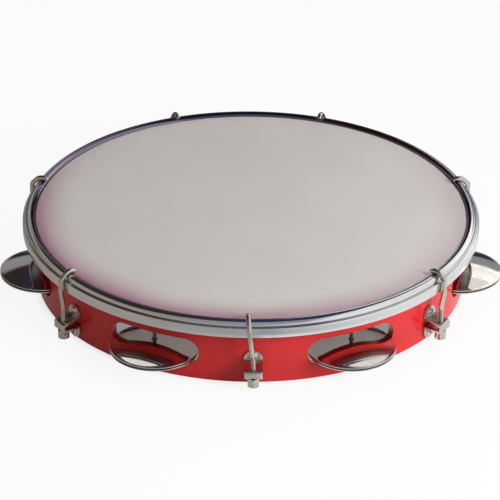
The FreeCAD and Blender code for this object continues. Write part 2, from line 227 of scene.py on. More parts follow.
class JingleSettings(bpy.types.PropertyGroup):
    pin_circle: length("Pin circle", "Distance of the pins from the drum's axis", 142.5)
    radius: length("Radius", "Radius of a jingle", 29.5)
    sheet: length("Sheet", "Thickness of a jingle", 0.8)
    height: length("Height", "Height of a jingle's dome", 5.75)
    rim: length("Rim", "Width of the flat rim", 0.7)
    hole: length("Hole", "Radius of the centre hole", 2)
    upper_level: length("Upper level", "Rim of the upper jingle", 16.55)
    lower_level: length("Lower level", "Crown of the lower jingle", 9.8)
    damper_radius: length("Damper", "Radius of the flat disc between the jingles", 28.5)
    damper_level: length("Damper level", "Underside of the flat disc", 15.8)
    damper_sheet: length("Damper sheet", "Thickness of the flat disc", 0.5)
    pin: length("Pin", "Radius of a pin", 1.25)
    pin_bottom: length("Pin bottom", "Lower end of a pin", 0.6)
    pin_top: length("Pin top", "Upper end of a pin", 35)
    nickel: colour("Nickel", "Plating of the jingles", tone(214, 211, 207))
    steel: colour("Steel", "The flat discs", tone(168, 166, 163))
    worn: colour("Worn steel", "The pins", tuple(0.3 * value for value in tone(168, 166, 163)))


class ShellSettings(bpy.types.PropertyGroup):
    red: colour("Red", "Colour of the moulded plastic", tone(204, 40, 40))
    deep: colour("Deep red", "Darker streaks in the plastic", tone(192, 35, 38))
    alloy: colour("Alloy", "The ring that holds the film", tone(176, 176, 178))
    nut: colour("Screw nut", "The small nuts inside", tone(190, 184, 172))


class StageSettings(bpy.types.PropertyGroup):
    distance: length("Distance", "Camera to the middle of the hoop's top", 2334)
    elevation: angle("Elevation", "Camera above the horizon", 27.96)
    azimuth: angle("Azimuth", "Camera round the drum", -90.9)
    roll: angle("Roll", "Camera turned about its view", 0.545)
    dip: angle("Dip", "How far below that middle the camera aims", 0.657)
    pan: angle("Pan", "How far to the left of that middle the camera aims", 0.019)
    target: length("Target", "Height that the camera looks at", 49)
    lens: FloatProperty(name="Lens", description="Focal length in millimetres", default=247.4)
    ambient: amount("Ambient", "Strength of the world's light", 0.25)
    key: amount("Key", "Power of the low light on the right", 19)
    key_azimuth: angle("Key azimuth", "The low light round the drum", -35)
    key_elevation: angle("Key elevation", "The low light above the horizon", 22)
    key_distance: length("Key distance", "From the drum to the low light", 1400)
    overhead: amount("Overhead", "Power of the light above", 4.5)
    panel: amount("Panel", "Power of the white panel behind", 1.9)
    panel_behind: length("Panel behind", "From the drum to the panel and the sheet", 900)
    panel_low: length("Panel low", "Lower edge of the panel", 510)
    panel_left: length("Panel left", "Left edge of the panel, from the drum's axis", 75)
    panel_width: length("Panel width", "Width of the panel", 1000)
    panel_height: length("Panel height", "Height of the panel", 600)
    sheet_low: length("Sheet low", "Lower edge of the white sheet", 490)
    sheet_middle: length("Sheet middle", "Middle of the sheet, right of the drum's axis", 200)
    sheet_width: length("Sheet width", "Width of the sheet", 3400)
    sheet_height: length("Sheet height", "Height of the sheet", 3200)
    sheet_jingles: IntVectorProperty(
        name="Sheet jingles", description="Upper jingles that the sheet lights", default=(1, 2, 6)
    )
    card_behind: length("Card behind", "From the drum's axis to the dark card", 400)
    card_width: length("Card width", "Width of the dark card", 294)
    card_height: length("Card height", "Height of the dark card", 262)
    floor: colour("Floor", "Colour of the floor", tone(244, 244, 244))
    # Painted shade on the floor close in front of the drum, as bright metal shows it
    near_floor_shade: colour("Near floor shade", "What bright metal shows of the floor close by", (0.55, 0.53, 0.5))
    sheet_tint: colour("Sheet tint", "Colour of the white sheet", (1.0, 0.98, 0.9))
    ceiling: colour("Ceiling", "What bright metal shows from overhead", tone(50, 52, 82))
    room: colour("Room", "What it shows from the room's middle", (0.33, 0.35, 0.38))
    left_room: colour("Left room", "What it shows from the left", (0.36, 0.31, 0.27))
    card: colour("Card", "The dark card close behind", (0.035, 0.028, 0.026))


GROUPS = {
    "pandeiro_layout": LayoutSettings,
    "pandeiro_shell": ShellSettings,
    "pandeiro_head": HeadSettings,
    "pandeiro_hoop": HoopSettings,
    "pandeiro_hook": HookSettings,
    "pandeiro_nut": NutSettings,
    "pandeiro_bracket": BracketSettings,
    "pandeiro_screw": ScrewSettings,
    "pandeiro_jingle": JingleSettings,
    "pandeiro_stage": StageSettings,
}


def angle_of_hook(context, place):
    """Angle of a hook about the drum's axis, counted from the front one."""
    layout = context.scene.pandeiro_layout
    pitch = (2 * math.pi - layout.grip_bay) / (layout.hook_count - 1)
    if place < layout.hooks_before_grip:
        return layout.first_hook + pitch * place
    return layout.first_hook + pitch * (place - 1) + layout.grip_bay


def hook_angles(context):
    count = context.scene.pandeiro_layout.hook_count
    return [angle_of_hook(context, place) for place in range(count)]


def jingle_angles(context):
    """Middle of every bay between two hooks, apart from the grip bay."""
    layout = context.scene.pandeiro_layout
    bays = [place for place in range(layout.hook_count) if place != layout.hooks_before_grip - 1]
    return [
        (angle_of_hook(context, place) + angle_of_hook(context, place + 1)) / 2 for place in bays
    ]


# Materials

def node(tree, kind, inputs=None, **settings):
    """A shader node, with its settings and with each input linked or set."""
    made = tree.nodes.new(kind)
    for key, value in settings.items():
        setattr(made, key, value)
    for key, value in (inputs or {}).items():
        if isinstance(value, bpy.types.NodeSocket):
            tree.links.new(value, made.inputs[key])
        else:
            made.inputs[key].default_value = value
    return made


def new_finish(name, **values):
    """A material with a surface shader; values are plain settings of the shader's sockets."""
    material = bpy.data.materials.new(name)
    material.use_nodes = True
    surface = material.node_tree.nodes["Principled BSDF"]
    for key, value in values.items():
        surface.inputs[key.replace("_", " ")].default_value = value
    return material, material.node_tree, surface


def place_on_piece(tree, scale=(1, 1, 1)):
    """The place of a point on the piece, with each axis stretched."""
    inputs = {"Vector": node(tree, "ShaderNodeTexCoord").outputs["Object"], "Scale": scale}
    return node(tree, "ShaderNodeMapping", inputs).outputs["Vector"]


def sides_of(tree, place):
    """The X, Y and Z of a place, by name."""
    return node(tree, "ShaderNodeSeparateXYZ", {"Vector": place}).outputs


def distance_from_axis(tree):
    """How far a point lies from the drum's axis."""
    flat = place_on_piece(tree, (1, 1, 0))
    return node(tree, "ShaderNodeVectorMath", {0: flat}, operation="LENGTH").outputs["Value"]


def noise(tree, vector, scale, detail=2.0, roughness=0.5):
    return node(
        tree,
        "ShaderNodeTexNoise",
        {"Vector": vector, "Scale": scale, "Detail": detail, "Roughness": roughness},
    ).outputs["Fac"]


def span(tree, value, low, high, to_low=0.0, to_high=1.0):
    """A value carried from one range to another, and held at its ends."""
    return node(
        tree,
        "ShaderNodeMapRange",
        {"Value": value, "From Min": low, "From Max": high, "To Min": to_low, "To Max": to_high},
    ).outputs["Result"]


def sum_of(tree, operation, *values):
    """The result of a sum on two or three values."""
    return node(tree, "ShaderNodeMath", dict(enumerate(values)), operation=operation).outputs[0]


def blended(tree, factor, first, second):
    """Two colours mixed by a factor."""
    mix = node(tree, "ShaderNodeMix", data_type="RGBA")
    for place, value in ((0, factor), (6, first), (7, second)):
        socket = mix.inputs[place]
        if isinstance(value, bpy.types.NodeSocket):
            tree.links.new(value, socket)
        else:
            socket.default_value = value if isinstance(value, (int, float)) else (*value, 1)
    return mix.outputs[2]


def bump(tree, surface, heights):
    """Lays height patterns over one another: (value, distance) from the coarsest to the finest."""
    normal = None
    for value, distance in heights:
        inputs = {"Height": value, "Distance": distance, "Strength": 1.0}
        if normal:
            inputs["Normal"] = normal
        normal = node(tree, "ShaderNodeBump", inputs).outputs["Normal"]
    tree.links.new(normal, surface.inputs["Normal"])


def plated_metal(name, tint, polish, haze, wave=0.0, turned=False, painted_shade_from=None):
    """Bright plating: haze, fingermarks and faint waves, and if asked turning marks and painted
    shade.

    The painted shade darkens the plating inside a given radius, and is left off at the front.
    """
    material, tree, surface = new_finish(name, Metallic=1.0)
    place = place_on_piece(tree)
    marks = noise(tree, place, 60, 4, 0.6)
    specks = noise(tree, place, 900, 3, 0.6)
    smudges = span(tree, marks, 0.42, 0.72, polish, haze)
    speckled = span(tree, specks, 0.62, 0.75, 0.0, 0.06)
    tree.links.new(sum_of(tree, "ADD", smudges, speckled), surface.inputs["Roughness"])
    dull = tuple(0.86 * value for value in tint)
    plating = blended(tree, span(tree, marks, 0.5, 0.8), tint, dull)
    # Painted shade: the plating inside the radius is darkened, except at the front
    if painted_shade_from:
        inner = span(tree, distance_from_axis(tree), painted_shade_from, painted_shade_from - 0.8 * MM)
        away = span(tree, sides_of(tree, place)["Y"], -145 * MM, -120 * MM)
        plating = blended(tree, sum_of(tree, "MULTIPLY", inner, away), plating, PAINTED_SHADE)
    tree.links.new(plating, surface.inputs["Base Color"])
    heights = []
    if wave:
        heights.append((noise(tree, place, 28, 1), wave))
    if turned:
        ring = node(tree, "ShaderNodeAttribute", attribute_name="from_axis").outputs["Fac"]
        inputs = {"W": ring, "Scale": 2600, "Detail": 2}
        grooves = node(tree, "ShaderNodeTexNoise", inputs, noise_dimensions="1D").outputs["Fac"]
        heights.append((grooves, 0.0008 * MM))
    heights.append((specks, 0.0015 * MM))
    bump(tree, surface, heights)
    return material


def red_plastic(settings):
    """Glossy moulded plastic: soft streaks in the red, orange peel, and fine scuffs."""
    material, tree, surface = new_finish("red_moulded_plastic", Specular_IOR_Level=0.3)
    place = place_on_piece(tree)
    streaks = noise(tree, place_on_piece(tree, (1, 1, 2.5)), 14, 3, 0.55)
    scuffs = noise(tree, place_on_piece(tree, (1, 1, 9)), 160, 5, 0.7)
    red = blended(tree, span(tree, streaks, 0.35, 0.7), settings.red, settings.deep)
    worn = tuple(min(1, 1.25 * value + 0.03) for value in settings.red)
    rubbed = span(tree, scuffs, 0.66, 0.82, 0.0, 0.35)
    tree.links.new(blended(tree, rubbed, red, worn), surface.inputs["Base Color"])
    tree.links.new(span(tree, scuffs, 0.4, 0.85, 0.16, 0.42), surface.inputs["Roughness"])
    peel = noise(tree, place, 420, 1)
    bump(tree, surface, [(noise(tree, place, 22, 1), 0.05 * MM), (peel, 0.004 * MM)])
    return material


def milky_film(settings):
    """Milky translucent film, pink near the red wall with painted red bounce light, and darker at
    its left-front edge with painted shade.
    """
    wall = settings.wall
    material, tree, surface = new_finish(
        "milky_film", Subsurface_Weight=1.0, Subsurface_Scale=0.9 * MM, Roughness=0.34
    )
    surface.inputs["Subsurface Radius"].default_value = (1.1, 1.1, 1.1)
    place = place_on_piece(tree)
    radius = distance_from_axis(tree)
    cloud = noise(tree, place, 16, 3, 0.5)
    ragged = sum_of(tree, "MULTIPLY_ADD", cloud, 6 * MM, radius)
    sides = sides_of(tree, place)
    # Painted red bounce light: pink near the wall, strongest towards the front, fainter to the
    # right
    near_side = span(tree, sides["Y"], 110 * MM, 10 * MM)
    left_side = span(tree, sides["X"], 20 * MM, 145 * MM, 1.0, 0.45)
    shown = sum_of(tree, "MULTIPLY", near_side, left_side)
    soft = sum_of(tree, "POWER", span(tree, ragged, wall - 24 * MM, wall - MM), 1.7)
    glow = sum_of(tree, "MULTIPLY", soft, shown)
    # Painted shade on the film's outer rim at the left front
    outer = span(tree, radius, wall - 5 * MM, wall)
    left = span(tree, sides["X"], 0, -100 * MM)
    front = span(tree, sides["Y"], 60 * MM, -30 * MM)
    rim = sum_of(tree, "MULTIPLY", outer, sum_of(tree, "MULTIPLY", left, front))
    cloudy = tuple(0.955 * value for value in settings.milk)
    milk = blended(tree, span(tree, cloud, 0.35, 0.7), settings.milk, cloudy)
    pink = blended(tree, glow, milk, settings.painted_red_bounce)
    tree.links.new(blended(tree, rim, pink, settings.edge), surface.inputs["Base Color"])
    fibres = noise(tree, place, 1500, 3, 0.6)
    bump(tree, surface, [(noise(tree, place, 9, 1), 0.08 * MM), (fibres, 0.003 * MM)])
    return material


# Modelling

def open_for_edit(piece):
    start(piece)
    bpy.ops.object.mode_set(mode="EDIT")
    bpy.ops.mesh.select_all(action="SELECT")


def close_edit():
    bpy.ops.mesh.select_all(action="SELECT")
    bpy.ops.mesh.remove_doubles(threshold=MERGE)
    bpy.ops.mesh.normals_make_consistent(inside=False)
    bpy.ops.object.mode_set(mode="OBJECT")


def added(name):
    """The primitive that was just added, with its place moved into its mesh."""
    piece = bpy.context.object
    piece.name = piece.data.name = name
    bpy.ops.object.transform_apply(location=True, rotation=True, scale=True)
    return piece


def start(piece=None):
    """Deselects everything, and then selects a piece if one is given."""
    bpy.ops.object.select_all(action="DESELECT")
    if piece:
        bpy.context.view_layer.objects.active = piece
        piece.select_set(True)


def turned(name, profile, segments, closed=False):
    """A piece turned about Z: a circle drawn on from corner to corner of (radius, level)."""
    start()
    radius, level = profile[0]
    bpy.ops.mesh.primitive_circle_add(vertices=segments, radius=radius, location=(0, 0, level))
    piece = added(name)
    open_for_edit(piece)
    corners = list(profile) + [profile[0]] * closed
    for (radius, level), (next_radius, next_level) in zip(corners, corners[1:]):
        bpy.ops.mesh.extrude_region_move(
            TRANSFORM_OT_translate={"value": (0, 0, next_level - level)}
        )
        grown = next_radius / radius
        bpy.ops.transform.resize(value=(grown, grown, 1), center_override=(0, 0, 0))
    if not closed:
        bpy.ops.mesh.select_all(action="SELECT")
        bpy.ops.mesh.fill_holes(sides=0)
    close_edit()
    return piece


def arc(centre, radius, first, last, steps):
    """Points of an arc of (radius, level), from one angle to another in degrees."""
    turns = [math.radians(first + (last - first) * step / steps) for step in range(steps + 1)]
    return [(centre[0] + radius * math.cos(t), centre[1] + radius * math.sin(t)) for t in turns]


def with_modifier(piece, kind, **values):
    """Adds a modifier, sets it and applies it."""
    start(piece)
    modifier = piece.modifiers.new(kind.lower(), kind)
    for key, value in values.items():
        setattr(modifier, key, value)
    bpy.ops.object.modifier_apply(modifier=modifier.name)
    return piece


def cut(piece, tool, operation="DIFFERENCE"):
    """Cuts a piece with a tool, or keeps what the tool covers, and removes the tool."""
    with_modifier(piece, "BOOLEAN", operation=operation, object=tool, solver="EXACT")
    bpy.data.objects.remove(tool)
    return piece


def softened(piece, width, segments=2, sharper_than=40):
    """Breaks the sharp edges and shades the rest smooth."""
    limit = math.radians(sharper_than)
    with_modifier(
        piece, "BEVEL", width=width, segments=segments, limit_method="ANGLE", angle_limit=limit
    )
    return shaded(piece, sharper_than)


def shaded(piece, sharper_than=40):
    start(piece)
    bpy.ops.object.shade_smooth_by_angle(angle=math.radians(sharper_than))
    return piece


def moved(piece, matrix):
    """Moves a piece's mesh, so that the object itself stays at the origin."""
    piece.data.transform(matrix)
    piece.data.update()
    return piece


def twin(piece, name, matrix):
    """A copy of a piece with its own mesh, moved to its place."""
    copy = piece.copy()
    copy.data = piece.data.copy()
    copy.name = copy.data.name = name
    bpy.context.scene.collection.objects.link(copy)
    return moved(copy, matrix)


def about_axis(angle):
    return Matrix.Rotation(angle, 4, "Z")


def joined(pieces, name):
    start()
    for piece in pieces:
        piece.select_set(True)
    bpy.context.view_layer.objects.active = pieces[0]
    bpy.ops.object.join()
    pieces[0].name = pieces[0].data.name = name
    return pieces[0]


def note_ring(piece):
    """Keeps each point's distance from the piece's own axis, for its turning marks."""
    ring = piece.data.attributes.new("from_axis", "FLOAT", "POINT")
    ring.data.foreach_set("value", [math.hypot(v.co.x, v.co.y) for v in piece.data.vertices])


def fitted(piece, material, body, slot, *nodes):
    """Gives a piece its finish and its body, and lets it stand for its CAD nodes."""
    piece.data.materials.clear()
    piece.data.materials.append(material)
    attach(piece, body)
    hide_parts(*nodes)


def dressed(name, material):
    """Gives a CAD node a new finish."""
    for entry in frame["nodes"][name].material_slots:
        entry.material = material


def threaded(piece, axis, low, high, radius, pitch, depth):
    """Cuts a fine thread into an upright rod, run out at both its ends."""
    for vertex in piece.data.vertices:
        offset = Vector((vertex.co.x - axis, vertex.co.y))
        if not low <= vertex.co.z <= high or offset.length < radius * 0.9:
            continue
        turn = math.atan2(offset.y, offset.x) / (2 * math.pi)
        crest = abs(2 * ((vertex.co.z / pitch - turn) % 1) - 1)
        faded = min(1, (high - vertex.co.z) / (2 * pitch), (vertex.co.z - low) / pitch)
        offset *= 1 - depth * (1 - crest) * max(0, faded) / offset.length
        vertex.co.x, vertex.co.y = axis + offset.x, offset.y
    piece.data.update()


def leant(piece, lean, level):
    """Leans a rod sideways above a level, with a soft bend there."""
    for vertex in piece.data.vertices:
        above = vertex.co.z - level
        if above > 0:
            vertex.co.y += math.tan(lean) * (math.hypot(above, 3 * MM) - 3 * MM)
    piece.data.update()


def drawn(offset, rows=1):
    """Draws the selected ring on by an offset, in equal rows."""
    for _ in range(rows):
        bpy.ops.mesh.extrude_region_move(
            TRANSFORM_OT_translate={"value": Vector(offset) / rows}
        )


def bent(centre, turn, steps):
    """Spins the selected ring on about a crosswise axis; a positive turn bends up towards out."""
    bpy.ops.mesh.spin(steps=steps, angle=-turn, center=centre, axis=(0, 1, 0))


def pick(piece, kind, test):
    """Selects the edges or corners that pass a test."""
    bpy.ops.mesh.select_all(action="DESELECT")
    work = bmesh.from_edit_mesh(piece.data)
    for item in getattr(work, kind):
        if test(item):
            item.select_set(True)
    work.select_flush_mode()
    bmesh.update_edit_mesh(piece.data)


def near(value, other):
    return abs(value - other) < MERGE


def upright_plate(name, distance, width, low, high):
    """A flat face that looks outwards, at a distance from the drum's axis."""
    start()
    bpy.ops.mesh.primitive_plane_add(
        size=1, location=(distance, 0, (low + high) / 2), rotation=(0, math.pi / 2, 0)
    )
    bpy.context.object.scale = (high - low, width, 1)
    return added(name)


def round_bar(radius, first, last):
    """A round bar from one point to another, to cut a hole with."""
    along = Vector(last) - Vector(first)
    start()
    bpy.ops.mesh.primitive_cylinder_add(
        vertices=48,
        radius=radius,
        depth=along.length,
        location=Vector(first) + along / 2,
        rotation=along.to_track_quat("Z", "Y").to_euler(),
    )
    return added("round_bar")


def repeated(piece, name, angles, finish, body, slot, replaced):
    """Copies a piece round the drum and fits every copy; no body means the shell's."""
    for place, turn in enumerate(angles, 1):
        copy = twin(piece, f"{name}_{place}", about_axis(turn))
        own_body = f"{body}_{place}" if body else "shell_assembly"
        fitted(copy, finish, own_body, slot, f"{replaced}_{place}")
    bpy.data.objects.remove(piece)


# Pieces

class DressShell(bpy.types.Operator):
    """Gives the shell, the ring under the hoop and the nuts inside their finishes"""

    bl_idname = "pandeiro.dress_shell"
    bl_label = "Dress the shell"

    def execute(self, context):
        settings = context.scene.pandeiro_shell
        dressed("shell", red_plastic(settings))
        dressed("flesh_hoop", plated_metal("spun_alloy", settings.alloy, 0.28, 0.42))
        dressed("bracket_screw_nuts", plated_metal("small_nuts", settings.nut, 0.22, 0.4))
        return {"FINISHED"}


class MakeHead(bpy.types.Operator):
    """Makes the film, flat over the bearing edge and turned down to the ring below"""

    bl_idname = "pandeiro.make_head"
    bl_label = "Make the head"

    def execute(self, context):
        settings = context.scene.pandeiro_head
        film = settings.thickness
        inner_round = settings.collar_round
        centre = (settings.collar - inner_round, settings.bearing_level - inner_round)
        top = settings.flange_level + film
        profile = [
            (settings.collar / 3, settings.bearing_level),
            *arc(centre, inner_round, 90, 0, 6),
            (settings.collar, settings.flange_level),
            (settings.flange, settings.flange_level),
            (settings.flange, top),
            (settings.collar + film, top),
            *arc(centre, inner_round + film, 0, 90, 8),
            (settings.collar * 0.94, settings.bearing_level + film),
            (settings.collar / 3, settings.bearing_level + film),
        ]
        piece = shaded(turned("film", profile, 240))
        fitted(piece, milky_film(settings), "shell_assembly", "head_film", "drumhead")
        return {"FINISHED"}


class MakeHoop(bpy.types.Operator):
    """Makes the hoop of one rolled sheet: hollow bead, groove, shoulder and band"""

    bl_idname = "pandeiro.make_hoop"
    bl_label = "Make the hoop"

    def execute(self, context):
        settings = context.scene.pandeiro_hoop
        edge, sheet = settings.edge_round, settings.sheet
        bead = (settings.bead_circle, settings.bead_level)
        outside, inside = bead[0] + settings.bead_radius, bead[0] - settings.bead_radius
        band, shoulder = settings.band_radius, settings.shoulder_level
        groove, bend = settings.groove, settings.shoulder_round
        leg_end = context.scene.pandeiro_head.flange_level
        profile = [
            *arc((band - edge, settings.band_bottom + edge), edge, -90, 0, 3),
            *arc((band - bend, shoulder - bend), bend, 0, 90, 5),
            *arc((outside + 1.9 * groove, shoulder - 0.5 * groove), 0.5 * groove, 90, 180, 3),
            (outside + groove, shoulder - groove),
            (outside, shoulder - groove),
            *arc(bead, settings.bead_radius, 0, 180, 24),
            (inside, leg_end),
            (inside + sheet, leg_end),
            *arc(bead, settings.bead_radius - sheet, 180, 0, 12),
            (outside - sheet, shoulder - sheet),
            (band - sheet, shoulder - sheet),
            *arc((band - sheet + edge, settings.band_bottom + edge), edge, 180, 270, 3),
        ]
        piece = softened(turned("rolled_hoop", profile, 288, closed=True), 0.12 * MM)
        # The chrome carries painted shade on the bead's inner side
        finish = plated_metal(
            "chromed_hoop", settings.chrome, 0.07, 0.16, wave=0.02 * MM, painted_shade_from=settings.painted_shade_from
        )
        fitted(piece, finish, "shell_assembly", "hoop_chrome", "counterhoop")
        return {"FINISHED"}


class MakeHooks(bpy.types.Operator):
    """Makes the bent rods that hold the hoop down, each with a threaded end"""

    bl_idname = "pandeiro.make_hooks"
    bl_label = "Make the hooks"

    def execute(self, context):
        settings = context.scene.pandeiro_hook
        hoop = context.scene.pandeiro_hoop
        bend = hoop.bead_radius + settings.clearance + settings.rod
        bead = Vector((hoop.bead_circle, 0, hoop.bead_level))
        tip = bead + bend * Vector((math.cos(settings.tip), 0, math.sin(settings.tip)))
        start()
        bpy.ops.mesh.primitive_circle_add(
            vertices=24, radius=settings.rod, location=tip, rotation=(0, math.pi - settings.tip, 0)
        )
        piece = added("hook_rod_1")
        open_for_edit(piece)
        bent(bead, settings.tip - settings.leave, 22)

        down = Vector((math.sin(settings.leave), 0, -math.cos(settings.leave)))
        outward = Vector((math.cos(settings.leave), 0, math.sin(settings.leave)))
        left_at = bead + bend * outward
        turn_in = settings.shank_bend
        slant = (settings.shank - turn_in * (1 - outward.x) - left_at.x) / down.x
        drawn(slant * down)
        corner = left_at + slant * down - turn_in * outward
        bent(corner, settings.leave, 8)

        step = settings.shank - settings.axis
        joggle = math.atan(step / settings.joggle_length)
        lead = settings.joggle_bend * math.tan(joggle / 2)
        turned_in = Vector((-math.sin(joggle), 0, -math.cos(joggle)))
        bend_start = settings.joggle_top + lead
        drawn((0, 0, bend_start - corner.z))
        bent((settings.shank - settings.joggle_bend, 0, bend_start), joggle, 5)
        drawn(turned_in * (math.hypot(step, settings.joggle_length) - 2 * lead))
        lower = settings.joggle_top - settings.joggle_length - lead
        bent((settings.axis + settings.joggle_bend, 0, lower), -joggle, 5)
        drawn((0, 0, settings.thread_top - lower))
        fine = settings.thread_pitch / 8
        rows = round((settings.thread_top - settings.bottom) / fine)
        drawn((0, 0, settings.bottom - settings.thread_top), rows)
        bpy.ops.mesh.select_all(action="SELECT")
        bpy.ops.mesh.fill_holes(sides=0)
        close_edit()
        softened(piece, settings.chamfer, 2, 60)
        threaded(
            piece, settings.axis, settings.bottom, settings.thread_top, settings.rod,
            settings.thread_pitch, settings.thread_depth,
        )
        shaded(piece)

        finish = plated_metal("nickel_hooks", settings.nickel, 0.12, 0.26, wave=0.015 * MM)
        level = context.scene.pandeiro_bracket.shelf_top
        dice = random.Random(5)
        for place, turn in enumerate(hook_angles(context), 1):
            hook = twin(piece, f"hook_rod_{place}", Matrix())
            lean = settings.front_lean if place == 1 else dice.uniform(-1, 1) * settings.spread
            leant(hook, lean, level)
            moved(hook, about_axis(turn))
            fitted(
                hook, finish, f"tension_hook_body_{place}", "hook_nickel", f"tension_hook_{place}"
            )
        bpy.data.objects.remove(piece)
        return {"FINISHED"}


class MakeNuts(bpy.types.Operator):
    """Makes the tall hexagonal nuts under the brackets"""

    bl_idname = "pandeiro.make_nuts"
    bl_label = "Make the nuts"

    def execute(self, context):
        settings = context.scene.pandeiro_nut
        rod = context.scene.pandeiro_hook
        low, high, cut_off = settings.bottom, settings.top, settings.chamfer
        flat, corner = settings.width / 2, settings.width / math.sqrt(3)
        start()
        bpy.ops.mesh.primitive_cylinder_add(
            vertices=6,
            radius=corner,
            depth=high - low,
            location=(0, 0, (low + high) / 2),
            rotation=(0, 0, math.radians(30)),
        )
        piece = added("hook_nut")
        profile = [
            (flat, low - MERGE),
            (corner + MERGE, low + cut_off),
            (corner + MERGE, high - cut_off),
            (flat, high + MERGE),
        ]
        cut(piece, turned("turned_corner", profile, 96), "INTERSECT")
        mouth = settings.bore + cut_off / 2
        bore = [
            (mouth, low - MM),
            (mouth, low),
            (settings.bore, low + cut_off / 2),
            (settings.bore, high - cut_off / 2),
            (mouth, high),
            (mouth, high + MM),
        ]
        cut(piece, turned("bore", bore, 48))
        softened(piece, 0.12 * MM, 2, 25)
        moved(piece, Matrix.Translation((rod.axis, 0, 0)))
        finish = plated_metal("nickel_nuts", settings.nickel, 0.14, 0.3)
        repeated(
            piece, "hook_nut", hook_angles(context), finish, "tuning_nut_body", "nut_nickel",
            "tuning_nut",
        )
        return {"FINISHED"}


class MakeBrackets(bpy.types.Operator):
    """Makes the folded strips that carry the nuts, with a round tab at each end"""

    bl_idname = "pandeiro.make_brackets"
    bl_label = "Make the brackets"

    def execute(self, context):
        settings = context.scene.pandeiro_bracket
        screws = context.scene.pandeiro_screw
        face, front, spare = settings.face, settings.front, MM
        folds = (
            (face, settings.shelf_root),
            (front, settings.shelf_top),
            (front, settings.shelf_bottom),
            (face, settings.shelf_bottom),
        )
        piece = upright_plate(
            "bracket", face, settings.width + 2 * spare, settings.shelf_root, settings.top + spare
        )
        open_for_edit(piece)
        bpy.ops.mesh.select_mode(type="EDGE")

        def lies_at(place):
            return lambda edge: all(
                near(v.co.x, place[0]) and near(v.co.z, place[1]) for v in edge.verts
            )

        pick(piece, "edges", lies_at(folds[0]))
        for (x, z), (next_x, next_z) in zip(folds, folds[1:]):
            drawn((next_x - x, 0, next_z - z))
        drawn((0, 0, settings.bottom - spare - settings.shelf_bottom))
        inner, outer = (settings.inner_fold, 3), (settings.fold, 6)
        for place, (bend, steps) in zip(folds, (inner, outer, outer, inner)):
            pick(piece, "edges", lies_at(place))
            bpy.ops.mesh.bevel(offset=bend, segments=steps, affect="EDGES")
        bpy.ops.mesh.select_mode(type="VERT")
        bpy.ops.object.mode_set(mode="OBJECT")
        with_modifier(piece, "SOLIDIFY", thickness=settings.sheet, offset=-1, use_even_offset=True)
        cut(piece, self.outline(settings), "INTERSECT")
        axis = context.scene.pandeiro_hook.axis
        low, high = settings.shelf_bottom - spare, settings.shelf_root + spare
        cut(piece, round_bar(settings.rod_hole, (axis, 0, low), (axis, 0, high)))
        for level in (screws.upper_level, screws.lower_level):
            back, front = (face - 4 * MM, 0, level), (face + spare, 0, level)
            cut(piece, round_bar(settings.screw_hole, back, front))
        softened(piece, 0.15 * MM, 2, 50)
        finish = plated_metal("nickel_brackets", settings.nickel, 0.13, 0.27, wave=0.012 * MM)
        angles = hook_angles(context)
        repeated(piece, "folded_bracket", angles, finish, None, "bracket_nickel", "bracket")
        return {"FINISHED"}

    def outline(self, settings):
        """The strip's outline from the front, drawn out to the lip with its ends rounded."""
        back, front = settings.face - 8 * MM, settings.front + 2 * MERGE
        piece = upright_plate("outline", back, settings.width, settings.bottom, settings.top)
        open_for_edit(piece)
        bpy.ops.mesh.bevel(offset=settings.width / 2 - MERGE, segments=12, affect="VERTICES")
        bpy.ops.mesh.select_all(action="SELECT")
        drawn((front - back, 0, 0))
        bpy.ops.mesh.bevel(offset=settings.corner, segments=6, affect="EDGES")
        close_edit()
        return piece


class MakeScrews(bpy.types.Operator):
    """Makes both rows of domed, slotted screws, each row one piece of seven screws"""

    bl_idname = "pandeiro.make_screws"
    bl_label = "Make the screws"

    def execute(self, context):
        settings = context.scene.pandeiro_screw
        seat = context.scene.pandeiro_bracket.face
        finish = plated_metal("nickel_screws", settings.nickel, 0.12, 0.28)
        outward = Matrix.Rotation(math.pi / 2, 4, "Y")
        dice = random.Random(11)
        for row, head, level in (
            ("upper", settings.upper_head, settings.upper_level),
            ("lower", settings.lower_head, settings.lower_level),
        ):
            piece = self.screw(settings, seat, head)
            raised = Matrix.Translation((0, 0, level))
            screws = []
            for turn in hook_angles(context):
                place = about_axis(turn) @ raised @ outward @ about_axis(dice.uniform(0, math.pi))
                screws.append(twin(piece, f"{row}_screw", place))
            bpy.data.objects.remove(piece)
            whole = joined(screws, f"{row}_screws")
            fitted(whole, finish, "shell_assembly", "screw_nickel", f"{row}_bracket_screws")
        return {"FINISHED"}

    def screw(self, settings, seat, head):
        """A domed, slotted screw along Z, with its head's seat at a height."""
        rise = settings.dome - settings.rim
        dome = (head**2 + rise**2) / (2 * rise)
        centre = seat + settings.dome - dome
        low = math.degrees(math.asin((seat + settings.rim - centre) / dome))
        start_level, pitch = settings.shank_end, settings.thread_pitch
        rows = [
            (settings.shank, start_level + pitch / 6 * step)
            for step in range(2, round(settings.thread / pitch * 6))
        ]
        profile = [
            (settings.shank - settings.tip, start_level),
            *rows,
            (settings.shank, seat),
            (head, seat),
            *arc((0, centre), dome, low, 86, 10),
        ]
        piece = turned("screw", profile, 20)
        start()
        bpy.ops.mesh.primitive_cube_add(
            size=1,
            location=(0, 0, seat + settings.dome),
            scale=(settings.slot_width, 3 * head, 2 * settings.slot_depth),
        )
        cut(piece, added("driver_slot"))
        softened(piece, 0.08 * MM, 1, 60)
        thread_end = start_level + settings.thread
        threaded(
            piece, 0, start_level, thread_end, settings.shank, pitch, settings.thread_depth
        )
        return shaded(piece)


